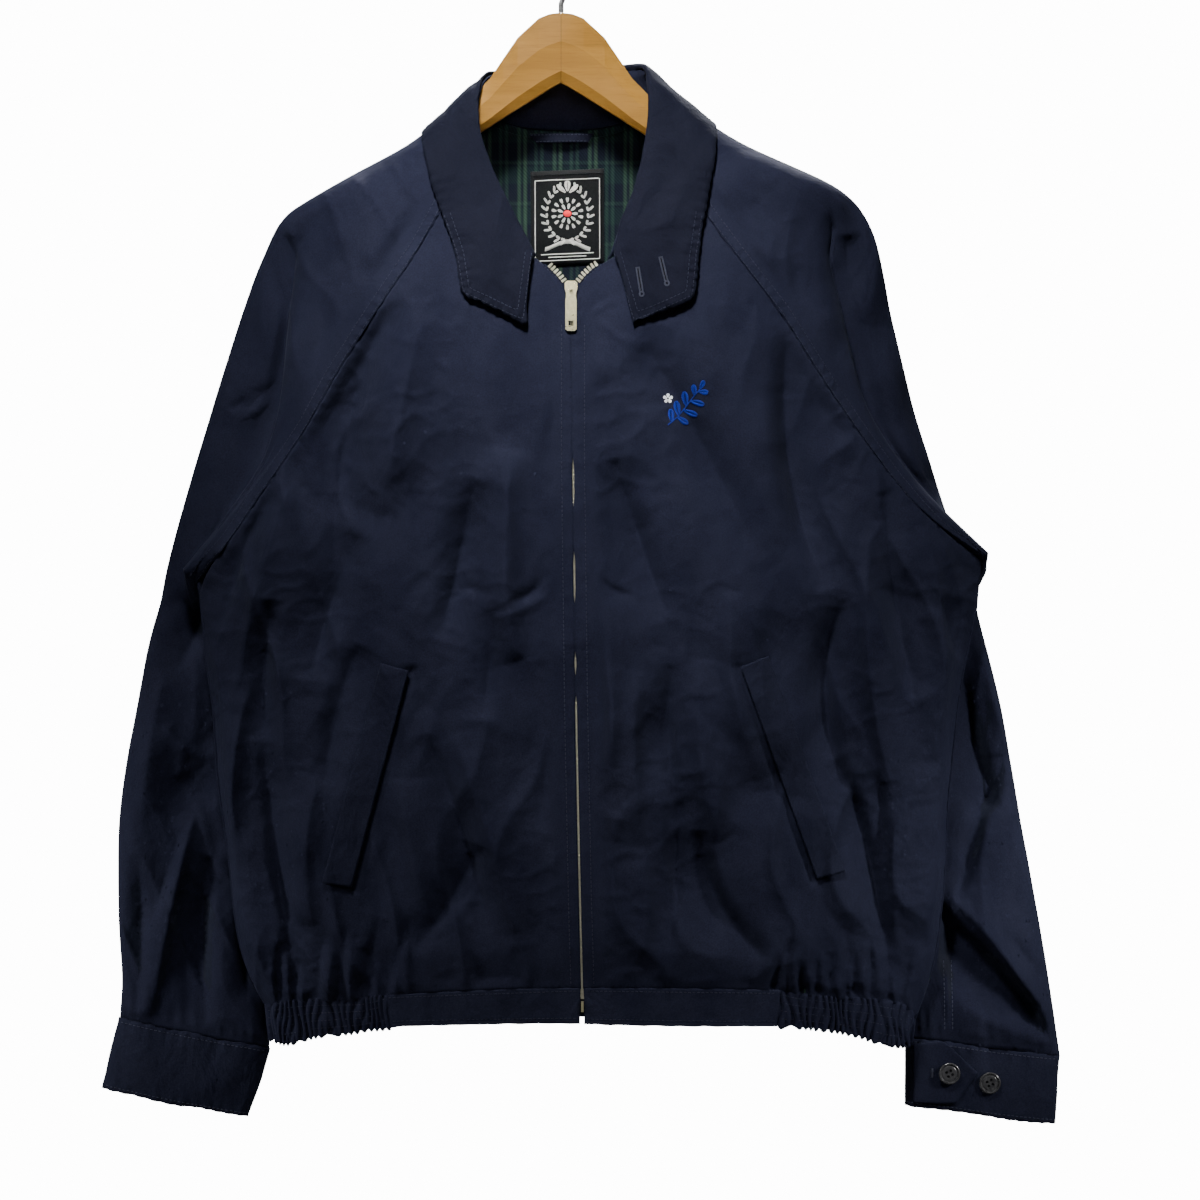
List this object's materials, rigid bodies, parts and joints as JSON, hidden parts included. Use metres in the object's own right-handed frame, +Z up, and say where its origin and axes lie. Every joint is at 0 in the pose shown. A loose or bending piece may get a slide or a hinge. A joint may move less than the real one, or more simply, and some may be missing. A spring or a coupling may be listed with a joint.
{
  "type": "harrington jacket on a wooden hanger",
  "caption": "Navy zip-up harrington jacket with raglan sleeves, stand collar, slanted pockets, buttoned cuffs and elasticated hem, hanging open-necked on a wooden hanger.",
  "frame": {"origin": "inside top of the hanger's hook, where it rests on a rail", "axes": "+Z up, +X towards the wearer's left, front of the jacket towards -Y"},
  "size_m": [0.7298, 0.1047, 0.9079],
  "materials": {
    "button": "polished",
    "label": "woven label",
    "metal": "polished nickel",
    "navy": "matt cotton twill",
    "tape": "woven zip tape",
    "tartan": "woven tartan cotton",
    "wood": "clear satin varnish"
  },
  "bodies": {
    "jacket": {"back": "navy", "back_lining": "tartan", "collar": "navy", "collar_stand": "navy", "cuff_button_left_1": "button", "cuff_button_left_2": "button", "cuff_button_right_1": "button", "cuff_button_right_2": "button", "cuff_left": "navy", "cuff_right": "navy", "cuff_tab_left": "navy", "cuff_tab_right": "navy", "front_left": "navy", "front_right": "navy", "hanger_hook": "metal", "hanger_left": "wood", "hanger_right": "wood", "hanging_loop": "navy", "hem_band_back": "navy", "hem_band_left": "navy", "hem_band_right": "navy", "hem_elastic_left": "navy", "hem_elastic_right": "navy", "neck_label": "label", "pocket_welt_left": "navy", "pocket_welt_right": "navy", "sleeve_left": "navy", "sleeve_right": "navy", "zip_slider": "metal", "zip_stop": "metal", "zip_tape_left": "tape", "zip_tape_right": "tape"},
    "pull_tab": {"zip_pull_tab": "metal"}
  },
  "joints": [
    {"name": "pull_tab_swing", "type": "hinge", "parent": "jacket", "child": "pull_tab", "pos_m": [0.00824, -0.04639, -0.27265], "axis": [-1, 0, 0], "range_deg": [0, 155]}
  ]
}
